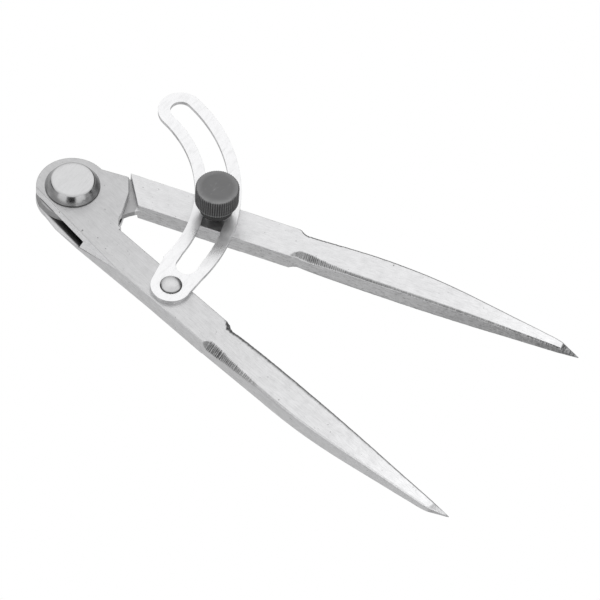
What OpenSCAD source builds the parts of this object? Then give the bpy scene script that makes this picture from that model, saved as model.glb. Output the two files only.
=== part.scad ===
// Wing divider for marking out: two pointed steel legs on a riveted box joint, held open by a
// slotted wing and a knurled thumbscrew.
// Millimetres, +Z up. The origin is on the pivot axis, at the flat foot of the lower pivot collar.
// +X runs along the bisector of the legs as drawn, towards the points.

/* [Legs] */
// Distance from the pivot axis to each point
leg_length = 150; // [140:1:160]
// Thickness of the fork leg
leg_thick = 5.7; // [5:0.1:6.5]
// Distance of a leg's outer side from the line through the pivot
leg_outer = 10.7; // [10:0.1:11.4]
// Distance of a leg's inner side from the line through the pivot
leg_inner = 0.8; // [0.6:0.05:1]
// Angle between the legs as drawn
opening = 25; // [20:1:30]
// Where the ground blade starts, from the pivot
blade_start = 64.5; // [60:0.5:68]

/* [Box joint] */
// Radius of the round head of the fork leg
head_r = 10.2; // [10:0.1:10.6]
// Radius of the tongue's round head
tongue_r = 9.8; // [9:0.1:9.9]
// Thickness of the tongue
tongue_thick = 1.8; // [1.6:0.1:2]
// Free play above the tongue, and below it
tongue_play = 0.1; // [0.05:0.05:0.15]
// Radius that the milled slot reaches from the pivot
slot_reach = 18.6; // [18.4:0.1:19]

/* [Pivot] */
// Radius of the pivot rivet's shank
shank_r = 3.5; // [3:0.1:4]
// Radius of the conical collars where they meet the legs
collar_base_r = 7.8; // [7.4:0.1:8.2]
// Radius of the conical collars' flat faces
collar_face_r = 6.05; // [5.8:0.05:6.4]
// Height of each conical collar
collar_h = 3.1; // [2.8:0.1:3.4]

/* [Wing] */
// Thickness of the slotted wing
wing_thick = 1.2; // [1:0.1:1.5]
// Radius of the wing's centre line
wing_r = 44.45; // [44.4:0.05:44.5]
// Width of the wing
wing_w = 13; // [12.4:0.1:13.4]
// Width of the wing's slot
wing_slot_w = 6.2; // [6.1:0.05:6.4]

/* [Thumbscrew] */
// Radius of the screw's thread
stud_r = 2; // [1.9:0.05:2.05]
// Radius of the knurled drum
drum_r = 6.15; // [5.8:0.05:6.4]
// Height of the knurled drum
drum_h = 6.4; // [5:0.1:6.8]
// How far the washer stands above the wing as drawn
screw_lift = 2.1; // [0.5:0.1:2.2]

/* [Hidden] */
$fn = 96;

eps = 0.01;
running = 0.05;                          // radial clearance of a shaft in its hole
leg_z = collar_h;                        // underside of both legs
leg_top = leg_z + leg_thick;
tongue_leg_thick = leg_thick - 0.1;      // lets the wing slide over the tongue leg
tongue_z = leg_z + (leg_thick - tongue_thick) / 2;
slot_h = tongue_thick + 2 * tongue_play;
slot_z = tongue_z - tongue_play;
edge_soft = 0.35;                        // small rounding of drilled and turned edges

// The ground blade, as stations along the leg. Each row is the distance from the pivot as a
// share of the blade, the inner side, the outer side, half the thickness and the edge bevel.
blade_rows = [
    [0,     0.8,  10.7, 2.85, 0.1],
    [0.007, 0.8,  10.5, 2.85, 0.3],
    [0.03,  1.7,  9.6,  2.85, 1.5],
    [0.07,  1.45, 9.65, 2.85, 1.4],
    [0.11,  1.3,  9.8,  2.85, 1.0],
    [0.17,  1.15, 10.0, 2.85, 0.55],
    [0.27,  1.0,  10.2, 2.85, 0.4],
    [0.37,  0.95, 9.95, 2.85, 0.35],
    [0.46,  0.9,  9.4,  2.8,  0.35],
    [0.56,  0.9,  8.4,  2.65, 0.35],
    [0.66,  0.9,  7.1,  2.4,  0.35],
    [0.76,  0.9,  5.8,  2.0,  0.35],
    [0.86,  0.85, 4.5,  1.6,  0.3],
    [0.936, 0.8,  3.3,  1.2,  0.2],
    [1,     0.65, 0.8,  0.07, 0.02]
];
blade_overlap = 0.5;
low_bevel = 0.45;                        // widest bevel of the lower edges
side_taper = 1.9;                        // how fast the straight outer side comes in

// The fork's ear reaches over the tongue, up to the tongue leg's shoulder.
ear_pts = [
    [-0.3, -9.5], [7.6, -13.7], [8.2, -13.9], [12.35, -10], [16.3, -3.65], [16.9, -2.2],
    [18.1, -0.8], [20, leg_inner], [20, 4], [0, 4]
];
// Outer side of the fork's head, which swells a little past the round head
cheek_pts = [
    [0, 0], [0, head_r], [5, 11.1], [14, 11.3], [26, 11.1], [42, leg_outer], [42, 0]
];
// Line of the tongue leg's shoulder
shoulder_out = [13.2, leg_outer];
shoulder_in = [19.4, leg_inner];
// Neck of the tongue, from its round head to the shoulder
neck_pts = [
    [0, -tongue_r], [7, -7.2], [14, -4.3], [16.6, -2.3], [17.6, -1.2], [19.2, 0.1], [21, 1.6],
    [21, 10.3], [4, 9.7], [0, tongue_r - 0.6]
];
// The fork's outer face leans in towards the top of the head.
lean = 23.7;
lean_turn = 5;
lean_at = [5, 8.7];

// The wing, in the fork leg's frame
wing_centre = [-1.8, 3.6];
wing_z = leg_top;
wing_top = wing_z + wing_thick;
wing_far = -86.6;                        // angle of the slot's far end about the wing's centre
wing_near = -13;                         // where the slot's arc ends, near the rivet
wing_rivet_at = [44.6, 4.3];
slot_end_at = [42.5, -3.7];
wing_heel_r = 5.7;
rivet_shank_r = 1.6;
rivet_dome_r = 3.1;
rivet_dome_h = 1.1;
rivet_tail_r = 2.6;

// The thumbscrew, in the tongue leg's frame
stud_at = [40.7, 5.8];
washer_h = 0.9;
washer_r = 4.75;
collar_thick = 1.3;
neck_h = 0.8;
neck_r = 4.3;
washer_z = wing_top + screw_lift;
knob_z = washer_z + washer_h + 0.05;
drum_z = knob_z + collar_thick + neck_h;
stud_foot = leg_z + 2.2;
stud_top = drum_z + 3;

steel = [0.80, 0.80, 0.80];
bright = [0.90, 0.90, 0.90];
black = [0.24, 0.24, 0.25];

// Places children drawn with x along a leg and y towards its outer side.
module fork_frame() {
    rotate([0, 0, -opening / 2]) mirror([0, 1, 0]) children();
}

module tongue_frame() {
    rotate([0, 0, opening / 2]) children();
}

// One section: c is the bevel of the upper edges, d that of the lower edges.
function blade_ring(u, a, b, h, c, d, mid) = [
    [u, a + d, mid - h], [u, b - d, mid - h], [u, b, mid - h + d], [u, b, mid + h - c],
    [u, b - c, mid + h], [u, a + c, mid + h], [u, a, mid + h - c], [u, a, mid - h + d]
];

// Tapered blade with a ground bevel along its four long edges, closed by a flat at each end.
// Near the bar its outer side is relieved to the table's line, or keeps straight on.
module blade(mid, squeeze = 0, straight = false) {
    n = 8;
    rows = len(blade_rows);
    first = blade_start - blade_overlap;
    pts = [
        for (r = blade_rows) each blade_ring(
            first + r[0] * (leg_length - first), r[1],
            straight && r[0] < 0.3 ? max(r[2], leg_outer - side_taper * r[0]) : r[2],
            r[3] - squeeze, r[4], min(r[4], low_bevel), mid
        )
    ];
    sides = [
        for (i = [0:rows - 2], k = [0:n - 1])
        [i * n + k, (i + 1) * n + k, (i + 1) * n + (k + 1) % n, i * n + (k + 1) % n]
    ];
    polyhedron(
        points = pts,
        faces = concat(
            [[for (k = [0:n - 1]) k]],
            [[for (k = [n - 1:-1:0]) (rows - 1) * n + k]],
            sides
        )
    );
}

module bar_2d() {
    polygon([
        [20, leg_inner], [blade_start, leg_inner], [blade_start, leg_outer], [42, leg_outer],
        [20, leg_outer]
    ]);
}

// Solid plan of the fork leg up to the blade
module fork_plan() {
    circle(r = head_r);
    polygon(ear_pts);
    polygon(cheek_pts);
    bar_2d();
}

module fork_leg() {
    color(steel) fork_frame() difference() {
        union() {
            translate([0, 0, leg_z]) linear_extrude(leg_thick) difference() {
                fork_plan();
                // the crotch below the ear keeps the leg's inner side straight
                polygon([[20, leg_inner], [20, -20], [80, -20], [80, leg_inner]]);
            }
            blade(leg_z + leg_thick / 2, straight = true);
        }
        // slot for the tongue, with room at the crotch for its neck when the legs close
        translate([0, 0, slot_z]) cylinder(r = slot_reach, h = slot_h);
        translate([0, 0, slot_z]) linear_extrude(slot_h) polygon([
            [16, -6], [20, -6], [20, leg_inner], [18.2, 1.7], [16, 1.7]
        ]);
        // leaning outer face of the head
        translate([lean_at[0], lean_at[1], leg_top]) rotate([0, 0, lean_turn])
            rotate([lean, 0, 0]) translate([-30, 0, -20]) cube([60, 12, 40]);
        // pivot hole
        translate([0, 0, leg_z - 1]) cylinder(r = shank_r, h = leg_thick + 2);
        // hole for the wing rivet, countersunk underneath
        translate([wing_rivet_at[0], wing_rivet_at[1], leg_z - 1])
            cylinder(r = rivet_shank_r, h = leg_thick + 2);
        translate([wing_rivet_at[0], wing_rivet_at[1], leg_z])
            cylinder(r1 = rivet_tail_r, r2 = rivet_shank_r, h = 1);
    }
}

module tongue_leg() {
    color(steel) tongue_frame() difference() {
        union() {
            // full thickness from the shoulder on
            translate([0, 0, leg_z]) linear_extrude(tongue_leg_thick) polygon([
                shoulder_in, [blade_start, leg_inner], [blade_start, leg_outer], shoulder_out
            ]);
            translate([0, 0, tongue_z]) linear_extrude(tongue_thick) {
                circle(r = tongue_r);
                polygon(neck_pts);
            }
            blade(leg_z + tongue_leg_thick / 2, squeeze = 0.05);
        }
        // pivot hole
        translate([0, 0, leg_z - 1]) cylinder(r = shank_r + running, h = leg_thick + 2);
        // tapped hole for the thumbscrew
        translate([stud_at[0], stud_at[1], leg_z - 1])
            cylinder(r = stud_r + running, h = leg_thick + 2);
    }
}

// Upper conical head and the shank, in one piece
module pivot_rivet() {
    color(steel) rotate_extrude() polygon([
        [0, eps], [shank_r - 0.4, eps], [shank_r, 0.4], [shank_r, leg_top],
        [collar_base_r, leg_top], [collar_base_r, leg_top + edge_soft],
        [collar_face_r, leg_top + collar_h - 0.25], [collar_face_r - 0.3, leg_top + collar_h],
        [0, leg_top + collar_h]
    ]);
}

// Lower conical collar that the shank is headed over
module pivot_collar() {
    color(steel) rotate_extrude() polygon([
        [shank_r, 0], [collar_face_r - 0.3, 0], [collar_face_r, 0.25],
        [collar_base_r, leg_z - edge_soft], [collar_base_r, leg_z], [shank_r, leg_z]
    ]);
}

// Wedge from the wing's centre that covers the angles from a to b
module wing_wedge(a, b) {
    far = 2 * wing_r;
    polygon([
        [0, 0], far * [cos(a), sin(a)], far * [cos((a + b) / 2), sin((a + b) / 2)],
        far * [cos(b), sin(b)]
    ]);
}

// Arc-shaped band about the wing's centre, with a round far end
module wing_band(w, a, b) {
    translate(wing_centre) {
        intersection() {
            difference() {
                circle(r = wing_r + w / 2, $fn = 192);
                circle(r = wing_r - w / 2, $fn = 192);
            }
            wing_wedge(a, b);
        }
        translate(wing_r * [cos(b), sin(b)]) circle(r = w / 2);
    }
}

// Point at a given offset from the centre line, at an angle about the wing's centre
function wing_pt(angle, offset) = wing_centre + (wing_r + offset) * [cos(angle), sin(angle)];

module wing() {
    heel_turn = 6;
    heel_side = [cos(22), -sin(22)];
    half = wing_slot_w / 2;
    color(bright) fork_frame() translate([0, 0, wing_z]) difference() {
        linear_extrude(wing_thick) difference() {
            union() {
                wing_band(wing_w, wing_near + heel_turn, wing_far);
                translate(wing_rivet_at) circle(r = wing_heel_r);
                polygon([
                    wing_pt(wing_near + heel_turn - 1, -wing_w / 2),
                    wing_pt(wing_near + heel_turn - 1, wing_w / 2),
                    wing_rivet_at + wing_heel_r * heel_side, wing_rivet_at - wing_heel_r * heel_side
                ]);
            }
            wing_band(wing_slot_w, wing_near, wing_far);
            translate(slot_end_at) circle(r = half);
            polygon([
                wing_pt(wing_near - 1, -half), wing_pt(wing_near - 1, half),
                slot_end_at + half * heel_side, slot_end_at - half * heel_side
            ]);
        }
        translate([wing_rivet_at[0], wing_rivet_at[1], -1])
            cylinder(r = rivet_shank_r, h = wing_thick + 2);
    }
}

// Domed rivet that holds the wing to the fork leg
module wing_rivet() {
    dome_sphere = (pow(rivet_dome_r, 2) + pow(rivet_dome_h, 2)) / (2 * rivet_dome_h);
    color(bright) fork_frame() translate([wing_rivet_at[0], wing_rivet_at[1], 0]) {
        intersection() {
            translate([0, 0, wing_top + rivet_dome_h - dome_sphere]) sphere(r = dome_sphere);
            translate([0, 0, wing_top]) cylinder(r = rivet_dome_r, h = rivet_dome_h + 1);
        }
        translate([0, 0, leg_z]) cylinder(r = rivet_shank_r, h = wing_top - leg_z + eps);
        translate([0, 0, leg_z]) cylinder(r1 = rivet_tail_r, r2 = rivet_shank_r, h = 1);
    }
}

module at_stud() {
    tongue_frame() translate([stud_at[0], stud_at[1], 0]) children();
}

// Plain washer held captive under the knob
module washer() {
    color(black) at_stud() translate([0, 0, washer_z]) difference() {
        cylinder(r = washer_r, h = washer_h);
        translate([0, 0, -1]) cylinder(r = stud_r + running, h = washer_h + 2);
    }
}

// Knurled drum, neck and collar, turned from one piece
module thumb_knob() {
    top = drum_z + drum_h;
    color(black) at_stud() rotate_extrude() polygon([
        [stud_r, knob_z], [washer_r, knob_z], [washer_r, knob_z + collar_thick],
        [neck_r, knob_z + collar_thick + 0.15], [neck_r, drum_z - 0.15],
        [drum_r - 0.5, drum_z], [drum_r, drum_z + 0.5], [drum_r, top - 0.4],
        [drum_r - 0.45, top], [0, top], [0, stud_top], [stud_r, stud_top]
    ]);
}

// Threaded stud, pressed into the knob
module thumb_stud() {
    color(black) at_stud() rotate_extrude() polygon([
        [0, stud_foot], [stud_r - edge_soft, stud_foot], [stud_r, stud_foot + edge_soft],
        [stud_r, stud_top], [0, stud_top]
    ]);
}

fork_leg();
tongue_leg();
pivot_rivet();
pivot_collar();
wing();
wing_rivet();
washer();
thumb_knob();
thumb_stud();
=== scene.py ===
import math

import bmesh
import bpy
from mathutils import Matrix, Vector, noise


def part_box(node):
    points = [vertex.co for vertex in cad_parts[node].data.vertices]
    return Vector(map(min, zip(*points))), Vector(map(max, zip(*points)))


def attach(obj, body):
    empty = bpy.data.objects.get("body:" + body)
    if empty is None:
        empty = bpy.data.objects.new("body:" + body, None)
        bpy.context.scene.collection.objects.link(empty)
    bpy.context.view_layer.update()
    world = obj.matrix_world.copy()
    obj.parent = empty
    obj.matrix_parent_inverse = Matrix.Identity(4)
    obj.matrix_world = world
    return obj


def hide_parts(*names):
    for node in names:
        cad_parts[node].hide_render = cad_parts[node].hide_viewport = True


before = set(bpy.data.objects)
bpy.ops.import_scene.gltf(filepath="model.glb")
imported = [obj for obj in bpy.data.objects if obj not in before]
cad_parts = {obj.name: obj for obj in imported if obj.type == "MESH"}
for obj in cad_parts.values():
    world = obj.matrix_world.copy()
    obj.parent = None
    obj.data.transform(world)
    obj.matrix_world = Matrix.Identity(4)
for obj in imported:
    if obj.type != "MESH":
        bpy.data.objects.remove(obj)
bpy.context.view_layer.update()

MM = 0.001
HALF_OPENING = math.radians(12.5)
# Reach of the tongue's slot from the pivot, and the height of its middle
SLOT_REACH, SLOT_MID = 18.6, 5.95
# Each leg has its own frame: along the leg, then out from its inner side, then up.
LEG_AXES = {
    "fork": (
        Vector((math.cos(HALF_OPENING), -math.sin(HALF_OPENING), 0)),
        Vector((-math.sin(HALF_OPENING), -math.cos(HALF_OPENING), 0)),
    ),
    "tongue": (
        Vector((math.cos(HALF_OPENING), math.sin(HALF_OPENING), 0)),
        Vector((-math.sin(HALF_OPENING), math.cos(HALF_OPENING), 0)),
    ),
}


# ---------------------------------------------------------------- camera and light

def make_camera():
    """A long lens, so the divider is seen almost without perspective."""
    azimuth, elevation, roll = math.radians(-60.06), math.radians(51.84), math.radians(4.51)
    aim = Vector((0.07286, 0.00523, 0.006))
    distance = 1.6563
    back = Vector((
        math.cos(azimuth) * math.cos(elevation),
        math.sin(azimuth) * math.cos(elevation),
        math.sin(elevation),
    ))
    cam = bpy.data.cameras.new("camera")
    cam.lens = 360.0
    cam.sensor_width = 36.0
    cam.clip_start, cam.clip_end = 0.1, 20.0
    obj = bpy.data.objects.new("camera", cam)
    bpy.context.scene.collection.objects.link(obj)
    turn = (-back).to_track_quat("-Z", "Y").to_matrix().to_4x4()
    obj.matrix_world = Matrix.Translation(aim + back * distance) @ turn @ Matrix.Rotation(roll, 4, "Z")
    bpy.context.scene.camera = obj


def grey(value):
    """A neutral colour, very slightly cool."""
    return (value, value, value * 1.01, 1)


class Nodes:
    """Adds and wires shader nodes."""

    def __init__(self, tree):
        self.tree = tree

    def add(self, kind, inputs=None, **values):
        """A node with its settings, and each input wired to a socket or set to a value."""
        node = self.tree.nodes.new(kind)
        for key, value in values.items():
            setattr(node, key, value)
        for key, value in (inputs or {}).items():
            if isinstance(value, bpy.types.NodeSocket):
                self.tree.links.new(value, node.inputs[key])
            else:
                node.inputs[key].default_value = value
        return node

    def math(self, operation, a, b=0.0, c=0.0, clamp=False):
        inputs = {0: a, 1: b}
        if operation in ("MULTIPLY_ADD", "COMPARE", "WRAP"):
            inputs[2] = c
        return self.add("ShaderNodeMath", inputs, operation=operation, use_clamp=clamp).outputs[0]

    def span(self, value, low, high, to_low=0.0, to_high=1.0, smooth=True):
        """Maps low..high onto to_low..to_high, eased at both ends."""
        return self.add("ShaderNodeMapRange", {
            "Value": value, "From Min": low, "From Max": high, "To Min": to_low, "To Max": to_high,
        }, interpolation_type="SMOOTHSTEP" if smooth else "LINEAR").outputs["Result"]

    def noise(self, vector, scale, detail=3.0, roughness=0.5):
        return self.add("ShaderNodeTexNoise", {
            "Vector": vector, "Scale": scale, "Detail": detail, "Roughness": roughness,
        }).outputs["Fac"]

    def stretch(self, vector, x, y, z):
        return self.add("ShaderNodeMapping", {"Vector": vector, "Scale": (x, y, z)}).outputs[0]

    def mix(self, fac, a, b):
        node = self.add("ShaderNodeMix", data_type="RGBA")
        for key, value in ((0, fac), (6, a), (7, b)):
            if isinstance(value, bpy.types.NodeSocket):
                self.tree.links.new(value, node.inputs[key])
            else:
                node.inputs[key].default_value = value
        return node.outputs[2]


def toward(azimuth, elevation):
    """Unit vector towards a direction given in degrees."""
    a, e = math.radians(azimuth), math.radians(elevation)
    return (math.cos(a) * math.cos(e), math.sin(a) * math.cos(e), math.sin(e))


def make_world():
    """A soft tent of light with a bright top, a dim horizon and a few dark gaps low down."""
    world = bpy.data.worlds.new("world")
    world.use_nodes = True
    n = Nodes(world.node_tree)
    way = n.add("ShaderNodeTexCoord").outputs["Generated"]
    height = n.add("ShaderNodeSeparateXYZ", {0: way}).outputs["Z"]
    level = n.span(height, 0.0, 0.75, 0.7, 1.12)
    # Direction of each patch, cosine at its core and at its edge, and its share of the light
    for azimuth, elevation, core, edge, keep in (
        (-60, 6, 0.97, 0.93, 0.02),
        (-96, 8, 0.97, 0.9, 2.3),
        (-24, 8, 0.97, 0.9, 2.3),
        (75, 2, 0.93, 0.72, 0.1),
        (-165, 4, 0.96, 0.86, 0.1),
    ):
        near = n.add(
            "ShaderNodeVectorMath", {0: way, 1: toward(azimuth, elevation)}, operation="DOT_PRODUCT"
        ).outputs["Value"]
        level = n.math("MULTIPLY", level, n.span(near, edge, core, 1.0, keep))
    background = world.node_tree.nodes["Background"]
    world.node_tree.links.new(level, background.inputs["Strength"])
    background.inputs["Color"].default_value = (1, 1, 1, 1)
    bpy.context.scene.world = world


def make_floor():
    """A white table that throws less light back close to the tool."""
    mesh = bpy.data.meshes.new("floor")
    s = 3.0
    mesh.from_pydata([(-s, -s, 0), (s, -s, 0), (s, s, 0), (-s, s, 0)], [], [(0, 1, 2, 3)])
    floor = bpy.data.objects.new("floor", mesh)
    bpy.context.scene.collection.objects.link(floor)
    m = bpy.data.materials.new("floor")
    m.use_nodes = True
    n = Nodes(m.node_tree)
    m.node_tree.nodes.clear()
    seen = n.add("ShaderNodeLightPath").outputs["Is Camera Ray"]
    at = n.add("ShaderNodeTexCoord").outputs["Object"]
    away = n.add("ShaderNodeVectorMath", {0: at}, operation="LENGTH").outputs["Value"]
    level = n.span(away, 0.12, 0.5, 0.64, 1.0)
    glow = n.add("ShaderNodeEmission", {"Strength": n.math("MAXIMUM", seen, level)})
    out = n.add("ShaderNodeOutputMaterial")
    m.node_tree.links.new(glow.outputs[0], out.inputs[0])
    mesh.materials.append(m)


def soft_box(name, azimuth, elevation, distance, size, power):
    """A rectangular lamp that faces the middle of the tool."""
    middle = Vector((0.06, 0, 0))
    light = bpy.data.lights.new(name, "AREA")
    light.shape = "RECTANGLE"
    light.size, light.size_y = size
    light.energy = power
    obj = bpy.data.objects.new(name, light)
    bpy.context.scene.collection.objects.link(obj)
    spot = middle + Vector(toward(azimuth, elevation)) * distance
    turn = (middle - spot).to_track_quat("-Z", "Y").to_matrix().to_4x4()
    obj.matrix_world = Matrix.Translation(spot) @ turn


# ---------------------------------------------------------------- materials

def finish_of(name, metallic, roughness):
    """A new material with its shader and node helper."""
    m = bpy.data.materials.new(name)
    m.use_nodes = True
    shader = m.node_tree.nodes["Principled BSDF"]
    shader.inputs["Metallic"].default_value = metallic
    shader.inputs["Roughness"].default_value = roughness
    return m, shader, Nodes(m.node_tree)


def leg_steel(name, side_tones, side_scale, head_tone, blade_tone, painted_shade):
    """Satin ground steel: grain along the leg, small pits, dark rough marks where it was relieved.

    Noise is laid out in the leg's own millimetres, along, out and up.
    """
    m, shader, n = finish_of(name, 1.0, 0.4)
    place = n.add("ShaderNodeAttribute", attribute_name="place").outputs["Vector"]
    wear = n.add("ShaderNodeAttribute", attribute_name="wear").outputs["Fac"]
    broken = n.add("ShaderNodeAttribute", attribute_name="broken").outputs["Fac"]
    normal = n.add("ShaderNodeTexCoord").outputs["Normal"]
    up = n.math("ABSOLUTE", n.add("ShaderNodeSeparateXYZ", {0: normal}).outputs["Z"])
    spot = n.add("ShaderNodeSeparateXYZ", {0: place})
    along, height = spot.outputs["X"], spot.outputs["Z"]

    grain = n.noise(n.stretch(place, 0.35, 7.0, 7.0), 1.0, 4.0, 0.6)
    mottle = n.noise(place, 0.4, 5.0, 0.62)
    cloud = n.noise(n.stretch(place, 0.06, 0.3, 0.3), 1.0, 2.0, 0.5)
    fine = n.noise(place, 4.0, 4.0, 0.7)
    pits = n.span(n.noise(place, 1.3, 2.0), 0.72, 0.77)
    hatch = n.noise(n.stretch(place, 2.6, 0.7, 0.7), 1.0, 4.0, 0.75)
    scale = n.noise(n.stretch(place, 0.7, 1.8, 2.6), 1.0, 6.0, 0.8)

    # ground top and bottom, lighter towards the point
    flat = n.span(up, 0.3, 0.85)
    top = n.mix(n.span(along, 8.0, 120.0, smooth=False), grey(head_tone), grey(blade_tone))
    top = n.mix(n.math("MULTIPLY", n.span(mottle, 0.45, 0.75), 0.1), top, grey(head_tone * 0.8))
    top = n.mix(n.math("MULTIPLY", n.span(cloud, 0.5, 0.75), 0.04), top, grey(0.9))
    top = n.mix(n.span(along, 108.0, 142.0, 0.0, 0.8), top, grey(0.9))

    # sides with forge scale; the head's leaning face is painted lighter, a painted highlight
    # the two legs get different side tones as painted light and shade
    side = n.mix(mottle, grey(side_tones[0]), grey(side_tones[1]))
    side = n.mix(n.math("MULTIPLY", n.span(scale, 0.48, 0.68), side_scale), side, grey(0.16))
    leaning = n.math("MULTIPLY", n.span(up, 0.3, 0.38), n.span(up, 0.5, 0.42))
    side = n.mix(n.math("MULTIPLY", leaning, 0.8), side, grey(1.0))
    tone = n.mix(flat, side, top)

    # painted shade inside the slot
    flat_place = n.add("ShaderNodeVectorMath", {0: place, 1: (1, 1, 0)}, operation="MULTIPLY").outputs[0]
    reach = n.add("ShaderNodeVectorMath", {0: flat_place}, operation="LENGTH").outputs["Value"]
    from_mid = n.math("ABSOLUTE", n.math("SUBTRACT", height, SLOT_MID))
    within = n.span(reach, SLOT_REACH + 0.3, SLOT_REACH + 0.15)
    sunk = n.math("MULTIPLY", within, n.span(from_mid, 1.1, 1.02))
    tone = n.mix(n.math("MULTIPLY", sunk, painted_shade), tone, grey(0.03))

    # grain, specks, pits, and the dark filed marks
    tone = n.mix(n.math("MULTIPLY", n.span(grain, 0.4, 0.72), 0.3), tone, grey(0.3))
    tone = n.mix(n.math("MULTIPLY", n.span(fine, 0.5, 0.72), 0.2), tone, grey(0.25))
    tone = n.mix(n.math("MULTIPLY", pits, 0.75), tone, grey(0.08))
    marks = n.math("MULTIPLY", wear, n.span(hatch, 0.3, 0.6, 0.45, 1.0))
    marks = n.math("MAXIMUM", marks, n.math("MULTIPLY", broken, n.span(mottle, 0.25, 0.6, 0.4, 1.0)))
    tone = n.mix(marks, tone, grey(0.05))
    m.node_tree.links.new(tone, shader.inputs["Base Color"])

    rough = n.math("ADD", n.span(mottle, 0.3, 0.7, 0.37, 0.44), n.math("MULTIPLY", wear, 0.2))
    m.node_tree.links.new(rough, shader.inputs["Roughness"])
    relief = n.math("ADD", n.math("MULTIPLY", grain, 0.6), n.math("MULTIPLY", fine, 0.5))
    relief = n.math("ADD", relief, n.math("MULTIPLY", n.math("MULTIPLY", hatch, wear), 3.0))
    relief = n.math("SUBTRACT", relief, pits)
    bump = n.add("ShaderNodeBump", {"Height": relief, "Strength": 0.4, "Distance": 0.00007})
    m.node_tree.links.new(bump.outputs[0], shader.inputs["Normal"])
    return m


def bright_finish(name, face, steep, rough, brush_scale, foot=None, metallic=1.0):
    """Bright steel with faint brush lines, painted darker on its steep sides as painted shade, and with a
    painted shadow at its foot.
    """
    m, shader, n = finish_of(name, metallic, rough)
    coords = n.add("ShaderNodeTexCoord")
    at = coords.outputs["Object"]
    edge = n.add("ShaderNodeAttribute", attribute_name="edge").outputs["Fac"]
    up = n.math("ABSOLUTE", n.add("ShaderNodeSeparateXYZ", {0: coords.outputs["Normal"]}).outputs["Z"])
    brush = n.noise(n.stretch(at, *brush_scale), 1.0, 4.0, 0.6)
    cloud = n.noise(at, 260.0, 3.0, 0.55)
    fine = n.noise(at, 1500.0, 3.0, 0.6)
    face_tone = n.mix(n.span(cloud, 0.35, 0.7), grey(face), grey(face * 1.06))
    # painted shade: the steep sides take a darker tone than the face
    steep_tone = n.mix(n.span(cloud, 0.4, 0.62), grey(steep * 0.7), grey(steep))
    tone = n.mix(n.span(up, 0.55, 0.9), steep_tone, face_tone)
    tone = n.mix(n.math("MULTIPLY", n.span(brush, 0.45, 0.75), 0.16), tone, grey(0.3))
    tone = n.mix(n.math("MULTIPLY", n.span(fine, 0.55, 0.75), 0.1), tone, grey(0.3))
    # painted shade: the faces marked by the edge attribute go dark
    tone = n.mix(edge, tone, grey(0.1))
    if foot:
        # painted shadow: darker close above the foot, where the part meets the surface below
        z = n.add("ShaderNodeSeparateXYZ", {0: at}).outputs["Z"]
        painted_shade = n.span(z, foot + 0.0005, foot + 0.00022, 0.0, 0.88)
        tone = n.mix(painted_shade, tone, grey(0.05))
    m.node_tree.links.new(tone, shader.inputs["Base Color"])
    m.node_tree.links.new(n.span(cloud, 0.3, 0.7, rough - 0.05, rough + 0.06), shader.inputs["Roughness"])
    relief = n.math("ADD", n.math("MULTIPLY", brush, 0.5), n.math("MULTIPLY", fine, 0.3))
    bump = n.add("ShaderNodeBump", {"Height": relief, "Strength": 0.15, "Distance": 0.00006})
    m.node_tree.links.new(bump.outputs[0], shader.inputs["Normal"])
    return m


def black_steel(drum_foot):
    """Matt black oxide, rubbed to bare metal in small spots, lighter along its edges with a painted
    highlight on the face's rim, and painted shade below the drum.
    """
    m, shader, n = finish_of("black_steel", 0.75, 0.5)
    coords = n.add("ShaderNodeTexCoord")
    at = coords.outputs["Object"]
    cloud = n.noise(at, 420.0, 5.0, 0.65)
    scuff = n.noise(n.stretch(at, 900.0, 320.0, 700.0), 1.0, 5.0, 0.7)
    edge = n.add("ShaderNodeAttribute", attribute_name="edge").outputs["Fac"]
    height = n.add("ShaderNodeSeparateXYZ", {0: at}).outputs["Z"]
    up = n.add("ShaderNodeSeparateXYZ", {0: coords.outputs["Normal"]}).outputs["Z"]
    tone = n.mix(cloud, grey(0.06), grey(0.095))
    tone = n.mix(n.span(up, 0.6, 0.95), tone, n.mix(cloud, grey(0.125), grey(0.19)))
    tone = n.mix(n.math("MULTIPLY", n.span(scuff, 0.58, 0.75), 0.45), tone, grey(0.3))
    # lighter where the edge attribute is set, with a painted highlight on the face's rim
    tone = n.mix(n.math("MULTIPLY", edge, n.span(cloud, 0.35, 0.6, 0.4, 1.0)), tone, grey(0.5))
    # painted shade: darker below the drum, on the neck and collar
    tone = n.mix(n.span(height, drum_foot, drum_foot - 0.0007, 0.0, 0.8), tone, grey(0.03))
    m.node_tree.links.new(tone, shader.inputs["Base Color"])
    m.node_tree.links.new(n.span(cloud, 0.3, 0.7, 0.42, 0.6), shader.inputs["Roughness"])
    bump = n.add("ShaderNodeBump", {"Height": scuff, "Strength": 0.4, "Distance": 0.00006})
    m.node_tree.links.new(bump.outputs[0], shader.inputs["Normal"])
    return m


# ---------------------------------------------------------------- mesh helpers

def add_piece(name, mesh, material, body, node, sharp=22.0):
    """Places a mesh on its body, in place of its CAD node, with edges sharp beyond an angle."""
    mesh.polygons.foreach_set("use_smooth", [True] * len(mesh.polygons))
    mesh.set_sharp_from_angle(angle=math.radians(sharp))
    mesh.materials.append(material)
    obj = bpy.data.objects.new(name, mesh)
    bpy.context.scene.collection.objects.link(obj)
    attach(obj, body)
    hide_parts(node)
    return obj


def mesh_from(bm, name):
    """Turns a bmesh into a mesh with every face outward."""
    bm.normal_update()
    bmesh.ops.recalc_face_normals(bm, faces=bm.faces)
    mesh = bpy.data.meshes.new(name)
    bm.to_mesh(mesh)
    bm.free()
    return mesh


def clean_cad_mesh(node):
    """A copy of the node's mesh in millimetres, with flat faces merged back into whole ones."""
    bm = bmesh.new()
    bm.from_mesh(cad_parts[node].data)
    bmesh.ops.scale(bm, vec=(1 / MM,) * 3, verts=bm.verts)
    bmesh.ops.remove_doubles(bm, verts=bm.verts, dist=0.002)
    bmesh.ops.dissolve_limit(bm, angle_limit=math.radians(0.6), verts=bm.verts, edges=bm.edges)
    return bm


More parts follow.
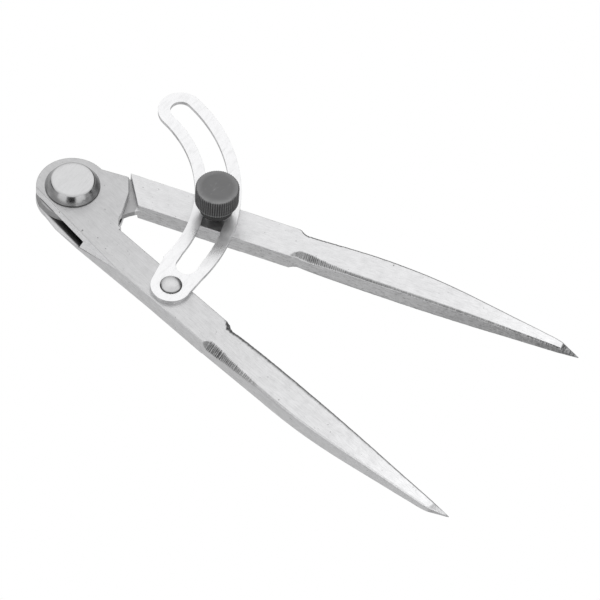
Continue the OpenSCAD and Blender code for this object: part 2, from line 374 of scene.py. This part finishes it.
def soften(bm, width, segments=2, angle=28.0):
    """Breaks every sharp edge, and returns the new narrow faces."""
    edges = [
        e for e in bm.edges
        if len(e.link_faces) == 2 and e.calc_face_angle(0) > math.radians(angle)
    ]
    return set(bmesh.ops.bevel(
        bm, geom=edges, offset=width, offset_type="OFFSET", segments=segments, profile=0.5,
        affect="EDGES", clamp_overlap=True,
    )["faces"])


def from_line(p, a, b):
    """Distance of p from the segment a to b, in plan."""
    a, b, p = Vector(a), Vector(b), Vector((p[0], p[1]))
    t = max(0.0, min(1.0, (p - a).dot(b - a) / (b - a).length_squared))
    return (p - a - (b - a) * t).length


def face_values(bm, name, value_of):
    """Stores a number for each face."""
    layer = bm.faces.layers.float.new(name)
    for face in bm.faces:
        face[layer] = value_of(face)


def ring_grid(rings, closed_low=True, closed_high=True):
    """A bmesh skin over rings of equal length."""
    bm = bmesh.new()
    rows = [[bm.verts.new(p) for p in ring] for ring in rings]
    count = len(rings[0])
    for low, high in zip(rows, rows[1:]):
        for i in range(count):
            j = (i + 1) % count
            bm.faces.new((low[i], low[j], high[j], high[i]))
    if closed_low:
        bm.faces.new(rows[0][::-1])
    if closed_high:
        bm.faces.new(rows[-1])
    return bm


def lathe(profile, centre, count, reach=None):
    """Turns (radius, height) points in millimetres round an upright axis."""
    rings = []
    for radius, z in profile:
        ring = []
        for i in range(count):
            t = 2 * math.pi * i / count
            r = radius if reach is None else reach(radius, z, t)
            ring.append((centre[0] + r * math.cos(t), centre[1] + r * math.sin(t), z))
        rings.append(ring)
    bm = ring_grid(rings)
    bmesh.ops.scale(bm, vec=(MM,) * 3, verts=bm.verts)
    return bm


def rounded(points, radius, steps=4):
    """Rounds the inner corners of an open polyline of (radius, height) points."""
    out = [points[0]]
    for before, corner, after in zip(points, points[1:], points[2:]):
        c = Vector(corner)
        a, b = Vector(before) - c, Vector(after) - c
        cut = min(radius, a.length * 0.45, b.length * 0.45)
        p, q = c + a.normalized() * cut, c + b.normalized() * cut
        for k in range(steps + 1):
            t = k / steps
            out.append(tuple(p * (1 - t) ** 2 + c * 2 * t * (1 - t) + q * t ** 2))
    out.append(points[-1])
    return out


def centre_of(node):
    """Middle of a CAD node's box in plan, in millimetres."""
    low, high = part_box(node)
    return ((low[0] + high[0]) / 2 / MM, (low[1] + high[1]) / 2 / MM)


def low_z(node):
    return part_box(node)[0][2] / MM


def top_z(node):
    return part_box(node)[1][2] / MM


# ---------------------------------------------------------------- the two legs

BAR_OUT, SIDE_TAPER = 10.7, 1.9
BLADE_FROM, POINT_AT = 64.0, 150.0
HEAD_CUT = 50.0
# Share of the blade, inner side, outer side, half the thickness
BLADE_ROWS = [
    (0.000, 0.8, 10.7, 2.85), (0.008, 0.8, 10.5, 2.85), (0.018, 1.3, 10.0, 2.85),
    (0.03, 1.7, 9.6, 2.85), (0.07, 1.45, 9.65, 2.85), (0.11, 1.3, 9.8, 2.85),
    (0.17, 1.15, 10.0, 2.85), (0.27, 1.0, 10.2, 2.85), (0.37, 0.95, 9.95, 2.85),
    (0.46, 0.9, 9.4, 2.8), (0.56, 0.9, 8.4, 2.65), (0.66, 0.9, 7.1, 2.4),
    (0.76, 0.9, 5.8, 2.0), (0.86, 0.85, 4.5, 1.6), (0.936, 0.8, 3.3, 1.2),
    (1.0, 0.65, 0.8, 0.07),
]
# Width of the ground bevel along each top edge, by distance from the pivot
BEVELS = {
    ("fork", "in"): [
        (50, 0.2), (63.4, 0.2), (64.2, 1.0), (65.2, 1.5), (66.4, 1.15), (70, 0.95), (80, 0.75),
        (95, 0.6), (120, 0.5), (144, 0.42), (150, 0.02),
    ],
    ("fork", "out"): [
        (50, 0.22), (63.8, 0.25), (64.9, 1.4), (65.8, 2.05), (68.6, 2.0), (70.4, 1.6),
        (74, 1.2), (79, 0.85), (86, 0.5), (100, 0.42), (144, 0.35), (150, 0.02),
    ],
    ("tongue", "in"): [
        (50, 0.2), (64.4, 0.22), (65.6, 0.9), (67.4, 1.6), (70, 1.5), (73.5, 1.1), (77, 0.75),
        (82, 0.5), (100, 0.4), (144, 0.35), (150, 0.02),
    ],
    ("tongue", "out"): [
        (50, 0.2), (63.8, 0.2), (65.4, 0.6), (67.5, 0.75), (80, 0.62), (120, 0.5), (144, 0.35),
        (150, 0.02),
    ],
}
# Depth of the bevel down the side, as a share of its width on top
BEVEL_DEPTH = {
    ("fork", "in"): 0.7, ("fork", "out"): 1.0, ("tongue", "in"): 0.9, ("tongue", "out"): 0.55,
}
# How dark and rough that bevel is
MARKS = {
    ("fork", "in"): [(62, 0), (64, 0.95), (67, 0.8), (90, 0.7), (125, 0.6), (150, 0.5)],
    ("fork", "out"): [
        (63.5, 0), (64.8, 0.75), (69, 0.8), (72, 0.62), (80, 0.5), (88, 0.25), (100, 0.12),
        (150, 0.2),
    ],
    ("tongue", "in"): [
        (64, 0), (66, 0.65), (70, 0.75), (78, 0.6), (84, 0.8), (98, 0.7), (115, 0.75), (150, 0.95),
    ],
    ("tongue", "out"): [(62, 0), (64.5, 0.85), (68, 0.8), (90, 0.7), (125, 0.35), (150, 0.25)],
}
# How dark the four faces of the ground point are
POINT_MARKS = {
    "fork": [(144.3, 0), (144.9, 0.42), (148.5, 0.2), (149.4, 0.9)],
    "tongue": [(144.3, 0), (144.8, 0.95), (150, 0.8)],
}
# How scuffed the two sides are
SIDE_MARKS = {
    "fork": [(50, 0), (150, 0)],
    "tongue": [(90, 0), (125, 0.3), (144, 0.62), (150, 0.7)],
}
# Where the edge was filed across, leaving a row of ticks
TICKS = {("fork", "out"): (65, 82, 0.2), ("tongue", "in"): (68, 81, 0.2)}


def along_line(points, x):
    """Value at x on a smooth line through (x, y) points."""
    if x <= points[0][0]:
        return points[0][1]
    for (x0, y0), (x1, y1) in zip(points, points[1:]):
        if x <= x1:
            t = (x - x0) / (x1 - x0)
            return y0 + (y1 - y0) * t * t * (3 - 2 * t)
    return points[-1][1]


def blade_at(u):
    """Inner side, outer side and half thickness at a distance from the pivot."""
    s = max(0.0, (u - BLADE_FROM) / (POINT_AT - BLADE_FROM))
    for k, (low, high) in enumerate(zip(BLADE_ROWS, BLADE_ROWS[1:])):
        if s <= high[0] or high is BLADE_ROWS[-1]:
            t = min(1.0, (s - low[0]) / (high[0] - low[0]))
            before = BLADE_ROWS[max(k - 1, 0)]
            after = BLADE_ROWS[min(k + 2, len(BLADE_ROWS) - 1)]
            out = []
            for c in (1, 2, 3):
                step = high[c] - low[c]
                m0 = (high[c] - before[c]) / max(high[0] - before[0], 1e-6) * (high[0] - low[0])
                m1 = (after[c] - low[c]) / max(after[0] - low[0], 1e-6) * (high[0] - low[0])
                if k == len(BLADE_ROWS) - 2 or k < 5:
                    m0 = m1 = step
                out.append(
                    low[c] + m0 * t + (3 * step - 2 * m0 - m1) * t * t + (m0 + m1 - 2 * step) * t ** 3
                )
            return out
    return BLADE_ROWS[-1][1:]


def bevel_at(leg, edge, u):
    """Width of a top bevel with its ragged edge, and how dark its marks are."""
    width = along_line(BEVELS[leg, edge], u)
    mark = along_line(MARKS[leg, edge], u)
    ragged = noise.noise(Vector((u * 1.7, 3.1 if leg == "fork" else 7.7, 1.3 if edge == "in" else 9.1)))
    width *= 1 + 0.22 * ragged * min(1.0, mark * 2)
    if (leg, edge) in TICKS and TICKS[leg, edge][0] < u < TICKS[leg, edge][1]:
        start, end, size = TICKS[leg, edge]
        fade = math.sin(math.pi * (u - start) / (end - start)) ** 0.6
        tick = math.sin(u * 2 * math.pi / 0.56 + 1.5 * noise.noise(Vector((u * 0.9, 0.2, 5.0))))
        width += size * fade * max(0.0, tick)
        mark = min(1.0, mark * (1 + 0.25 * tick))
    return max(width, 0.015), mark


# Edges round the box joint whose break is drawn dark, as points along and out from a leg
DARK_EDGES = {
    "fork": [(12.35, -10), (16.3, -3.65), (16.9, -2.2), (18.1, -0.8), (20, 0.8)],
    "tongue": [(13.2, 10.7), (19.4, 0.8), (21, 0.8)],
}

FACE_STEPS, SIDE_STEPS, BEVEL_STEPS = 14, 6, 4


def leg_ring(leg, u, mid, squeeze):
    """Points round the leg at one place, with how worn each is."""
    a, b, h = blade_at(u)
    share = (u - BLADE_FROM) / (POINT_AT - BLADE_FROM)
    if leg == "fork" and 0 < share < 0.3:
        b = max(b, BAR_OUT - SIDE_TAPER * share)
    h -= squeeze
    wi, mark_in = bevel_at(leg, "in", u)
    wo, mark_out = bevel_at(leg, "out", u)
    room = (b - a) / 2 - 0.01
    wi, wo = min(wi, room, h * 0.8), min(wo, room, h * 0.8)
    low_in, low_out = min(wi, 0.45, room), min(wo, 0.45, room)
    facet = along_line(POINT_MARKS[leg], u)
    flank = max(facet * 0.8, along_line(SIDE_MARKS[leg], u))
    di, do = wi * BEVEL_DEPTH[leg, "in"], wo * BEVEL_DEPTH[leg, "out"]
    corners = [
        ((a + low_in, -h), (b - low_out, -h), FACE_STEPS, facet),
        ((b - low_out, -h), (b, -h + low_out), BEVEL_STEPS, mark_out * 0.5),
        ((b, -h + low_out), (b, h - do), SIDE_STEPS, flank),
        ((b, h - do), (b - wo, h), BEVEL_STEPS, mark_out),
        ((b - wo, h), (a + wi, h), FACE_STEPS, facet),
        ((a + wi, h), (a, h - di), BEVEL_STEPS, mark_in),
        ((a, h - di), (a, -h + low_in), SIDE_STEPS, flank),
        ((a, -h + low_in), (a + low_in, -h), BEVEL_STEPS, mark_in * 0.5),
    ]
    points, wear = [], []
    for start, end, steps, mark in corners:
        for k in range(steps):
            t = k / steps
            v = start[0] + (end[0] - start[0]) * t
            z = start[1] + (end[1] - start[1]) * t
            points.append((u, v, mid + z))
            wear.append(mark)
    return points, wear


def stations():
    """Places along the leg for its rings, closest where the edges are filed."""
    u = HEAD_CUT + 0.4
    out = [u]
    while u < POINT_AT - 0.05:
        u += 1.5 if u < 62 else 0.12 if u < 84 else 0.3 if u < 104 else 0.8 if u < 143 else 0.35
        out.append(min(u, POINT_AT))
    return out


def taper_rim(bm):
    """The tongue's round rim widens a little downwards, in line with the head's leaning side."""
    for vert in bm.verts:
        r = math.hypot(vert.co.x, vert.co.y)
        if 9.3 < r < 10 and abs(vert.co.z - SLOT_MID) < 1:
            share = 1 - 0.25 * (vert.co.z - SLOT_MID - 0.2) / r
            vert.co.x, vert.co.y = vert.co.x * share, vert.co.y * share


def make_leg(leg, node, body, material):
    """The milled head as the CAD has it with broken edges, and the blade as it was ground."""
    e_u, e_v = LEG_AXES[leg]
    # the tongue leg is a little thinner, so that it lies clear of the wing
    squeeze = 0.05 if leg == "tongue" else 0.0
    mid = (low_z(node) + top_z(node)) / 2
    bm = clean_cad_mesh(node)
    for vert in bm.verts:
        p = vert.co.copy()
        vert.co = (p.dot(e_u), p.dot(e_v), p.z)
    bmesh.ops.bisect_plane(
        bm, geom=bm.verts[:] + bm.edges[:] + bm.faces[:], dist=1e-4,
        plane_co=(HEAD_CUT + 4, 0, 0), plane_no=(1, 0, 0), clear_outer=True,
    )
    if leg == "tongue":
        taper_rim(bm)
    narrow = soften(bm, 0.22)
    lines = DARK_EDGES[leg]

    def broken(face):
        if face not in narrow:
            return 0.0
        spot = face.calc_center_median()
        if leg == "tongue" and spot.y < -4 and spot.z > SLOT_MID:
            return 0.85
        if leg == "tongue" and spot.x > 21 and spot.z < SLOT_MID:
            return 0.5
        return 0.9 if min(from_line(spot, a, b) for a, b in zip(lines, lines[1:])) < 0.5 else 0.0

    face_values(bm, "broken", broken)
    bmesh.ops.bisect_plane(
        bm, geom=bm.verts[:] + bm.edges[:] + bm.faces[:], dist=1e-4,
        plane_co=(HEAD_CUT, 0, 0), plane_no=(1, 0, 0), clear_outer=True,
    )
    rows, worn = [], []
    for u in stations():
        points, wear = leg_ring(leg, u, mid, squeeze)
        rows.append([bm.verts.new(p) for p in points])
        worn.append(wear)
    marks = {}
    for row, wear in zip(rows, worn):
        marks.update({vert: value for vert, value in zip(row, wear)})
    count = len(rows[0])
    for low, high in zip(rows, rows[1:]):
        for i in range(count):
            j = (i + 1) % count
            bm.faces.new((low[i], low[j], high[j], high[i]))
    bm.faces.new(rows[-1])
    rim = [e for e in bm.edges if e.is_boundary]
    bmesh.ops.bridge_loops(bm, edges=rim)
    bm.verts.index_update()
    place = [tuple(v.co) for v in bm.verts]
    wear = [marks.get(v, 0.0) for v in bm.verts]
    for vert in bm.verts:
        u, v, z = vert.co
        vert.co = (e_u * u + e_v * v + Vector((0, 0, z))) * MM
    mesh = mesh_from(bm, node + "_piece")
    mesh.attributes.new("place", "FLOAT_VECTOR", "POINT").data.foreach_set(
        "vector", [c for p in place for c in p]
    )
    mesh.attributes.new("wear", "FLOAT", "POINT").data.foreach_set("value", wear)
    return add_piece(node + "_piece", mesh, material, body, node, sharp=9)


# ---------------------------------------------------------------- turned pieces

def make_pivot(material):
    """Conical rivet head, its flat face soft at the edge, and the matching collar below."""
    leg_low, leg_high = low_z("fork_leg"), top_z("fork_leg")
    top = top_z("pivot_rivet")
    x = centre_of("pivot_rivet")

    def knocked(r, z, t):
        if r <= 3.6:
            return r
        return r * (1 + 0.004 * noise.noise(Vector((math.cos(t) * 2, math.sin(t) * 2, z * 0.5))))

    head = [(0.02, 0.0), (3.2, 0.0), (3.5, 0.4), (3.5, leg_high), (7.72, leg_high)]
    head += [(7.78, leg_high + 0.1), (7.74, leg_high + 0.3)]
    cone = rounded([(7.74, leg_high + 0.3), (6.12, top - 0.12), (5.2, top), (3.0, top)], 0.55, 6)
    head += cone[1:] + [(1.5, top), (0.02, top)]
    mesh = mesh_from(lathe(head, x, 128, knocked), "pivot_rivet_piece")
    add_piece("pivot_rivet_piece", mesh, material, "fork", "pivot_rivet", sharp=50)
    collar = [(3.5, 0.0)] + rounded([(4.2, 0.0), (6.0, 0.0), (7.72, leg_low - 0.3)], 0.35)
    collar += [(7.78, leg_low - 0.1), (7.72, leg_low), (3.5, leg_low)]
    bm = lathe(collar, x, 128)
    close_bore(bm, len(collar), 128)
    add_piece(
        "pivot_collar_piece", mesh_from(bm, "pivot_collar_piece"), material, "fork",
        "pivot_collar", sharp=50,
    )


def close_bore(bm, rows, count):
    """Turns a lathed skin with two end caps into a ring with a bore."""
    bm.verts.ensure_lookup_table()
    caps = [f for f in bm.faces if len(f.verts) == count]
    bmesh.ops.delete(bm, geom=caps, context="FACES_ONLY")
    bm.verts.ensure_lookup_table()
    last = (rows - 1) * count
    for i in range(count):
        j = (i + 1) % count
        bm.faces.new((bm.verts[last + i], bm.verts[last + j], bm.verts[j], bm.verts[i]))


def make_wing(material, rivet_material):
    """The slotted arc with its bevelled edges painted dark as painted shade, and the small domed rivet
    that holds it.
    """
    bm = clean_cad_mesh("wing")
    narrow = soften(bm, 0.2)
    def edge_shade(face):
        return 0.9 if face in narrow else 0.0

    face_values(bm, "edge", edge_shade)
    bmesh.ops.scale(bm, vec=(MM,) * 3, verts=bm.verts)
    add_piece("wing_piece", mesh_from(bm, "wing_piece"), material, "fork", "wing")
    x = centre_of("wing_rivet")
    plate, top, low = top_z("wing"), top_z("wing_rivet"), low_z("wing_rivet")
    profile = [(0.02, low), (2.55, low), (1.6, low + 1.0), (1.6, plate - 0.02), (3.02, plate - 0.01)]
    profile += [
        (3.1, plate + 0.06), (3.06, plate + 0.2), (2.8, plate + 0.46), (2.4, plate + 0.72),
        (1.9, top - 0.2), (1.3, top - 0.09), (0.7, top - 0.02), (0.02, top),
    ]
    mesh = mesh_from(lathe(profile, x, 72), "wing_rivet_piece")
    add_piece(
        "wing_rivet_piece", mesh, rivet_material, "fork", "wing_rivet", sharp=50,
    )


DRUM_TALL = 6.4


def make_thumbscrew(material):
    """Knurled knob with its neck and collar, threaded stud, and the washer under it."""
    x = centre_of("thumb_knob")
    low, top = low_z("thumb_knob"), top_z("thumb_knob")
    foot = low_z("thumb_stud")
    ridges = 58
    drum = 6.15
    drum_low = top - DRUM_TALL

    def knurl(r, z, t):
        if not (drum_low + 0.05 < z < top - 0.2) or r < 5.6:
            return r
        wave = abs(math.sin(ridges * t / 2))
        band = 0.5 + 0.5 * math.cos(2 * math.pi * (z - drum_low) / 0.62)
        ends = min(1.0, (z - drum_low) / 0.5, (top - z) / 0.5)
        return r - ends * (0.26 * (1 - wave) + 0.05 * band * wave)

    collar_r, neck_r, collar = 4.75, 4.3, 1.3
    profile = [(1.95, low), (collar_r - 0.15, low), (collar_r, low + 0.15)]
    profile += [(collar_r, low + collar - 0.1), (collar_r - 0.12, low + collar)]
    profile += [(neck_r, low + collar + 0.15), (neck_r, drum_low - 0.15)]
    profile += [(drum - 0.55, drum_low), (drum - 0.05, drum_low + 0.42)]
    rows = 22
    for k in range(rows + 1):
        profile.append((drum, drum_low + 0.5 + (DRUM_TALL - 0.95) * k / rows))
    profile += [(drum - 0.12, top - 0.24), (drum - 0.42, top - 0.03), (drum - 0.55, top)]
    profile += [(4.2, top), (2.0, top), (0.02, top)]
    bm = lathe(profile, x, ridges * 8, knurl)
    mesh = mesh_from(bm, "thumb_knob_piece")
    # edge attribute: a painted highlight on the face's rim, and lighter knurl crests and lower chamfer
    edge = []
    for v in mesh.vertices:
        z = v.co.z / MM
        r = math.hypot(v.co.x / MM - x[0], v.co.y / MM - x[1])
        rim = max(0.0, 1 - abs(z - (top - 0.12)) / 0.2) * (r > 5.4)
        crest = 0.22 * (r > drum - 0.06) * (drum_low + 0.3 < z < top - 0.3)
        chamfer = 0.5 * (abs(z - drum_low - 0.3) < 0.25) * (r > 5.6)
        edge.append(max(rim * 0.6, crest, chamfer))
    mesh.attributes.new("edge", "FLOAT", "POINT").data.foreach_set("value", edge)
    add_piece("thumb_knob_piece", mesh, material, "thumbscrew", "thumb_knob", sharp=40)

    pitch = 0.7
    end = low + 0.6
    count, rows = 40, int((end - foot) / 0.07)
    rings = []
    for k in range(rows + 1):
        z = foot + (end - foot) * k / rows
        ring = []
        for i in range(count):
            t = 2 * math.pi * i / count
            phase = (z / pitch - t / (2 * math.pi)) % 1.0
            depth = 0.36 * (1 - min(1.0, abs(phase - 0.5) * 2 * 1.25))
            r = min(2.0 - depth, 1.5 + (z - foot) * 1.1)
            ring.append((x[0] + r * math.cos(t), x[1] + r * math.sin(t), z))
        rings.append(ring)
    bm = ring_grid(rings)
    bmesh.ops.scale(bm, vec=(MM,) * 3, verts=bm.verts)
    add_piece(
        "thumb_stud_piece", mesh_from(bm, "thumb_stud_piece"), material, "thumbscrew",
        "thumb_stud", sharp=30,
    )

    under, over = low_z("washer"), top_z("washer")
    profile = [
        (2.08, under), (4.6, under), (4.75, under + 0.12), (4.75, over - 0.15), (4.58, over),
        (2.08, over),
    ]
    bm = lathe(profile, x, 96)
    close_bore(bm, len(profile), 96)
    add_piece(
        "washer_piece", mesh_from(bm, "washer_piece"), material, "captive_washer", "washer",
        sharp=30,
    )


make_camera()
make_world()
make_floor()
soft_box("key", 120, 55, 0.9, (0.7, 0.5), 0.25)
bpy.context.scene.view_settings.view_transform = "Standard"

# The fork's side tones are lighter than the tongue's: painted light on the fork's outer side, painted
# shade on the tongue's inner side.
fork_steel = leg_steel("fork_leg_steel", (0.68, 0.86), 0.16, 0.5, 0.72, 0.92)
tongue_steel = leg_steel("tongue_leg_steel", (0.54, 0.82), 0.66, 0.66, 0.73, 0.46)
leg_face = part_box("fork_leg")[1][2]
rivet = bright_finish("rivet_steel", 0.5, 0.42, 0.2, (2500.0, 250.0, 900.0), leg_face)
bright = bright_finish("bright_steel", 0.76, 0.7, 0.32, (900.0, 220.0, 900.0), metallic=0.75)
small = bright_finish(
    "small_rivet_steel", 0.56, 0.3, 0.3, (900.0, 900.0, 900.0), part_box("wing")[1][2]
)
black = black_steel(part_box("thumb_knob")[1][2] - DRUM_TALL * MM)
make_leg("fork", "fork_leg", "fork", fork_steel)
make_leg("tongue", "tongue_leg", "tongue", tongue_steel)
make_pivot(rivet)
make_wing(bright, small)
make_thumbscrew(black)
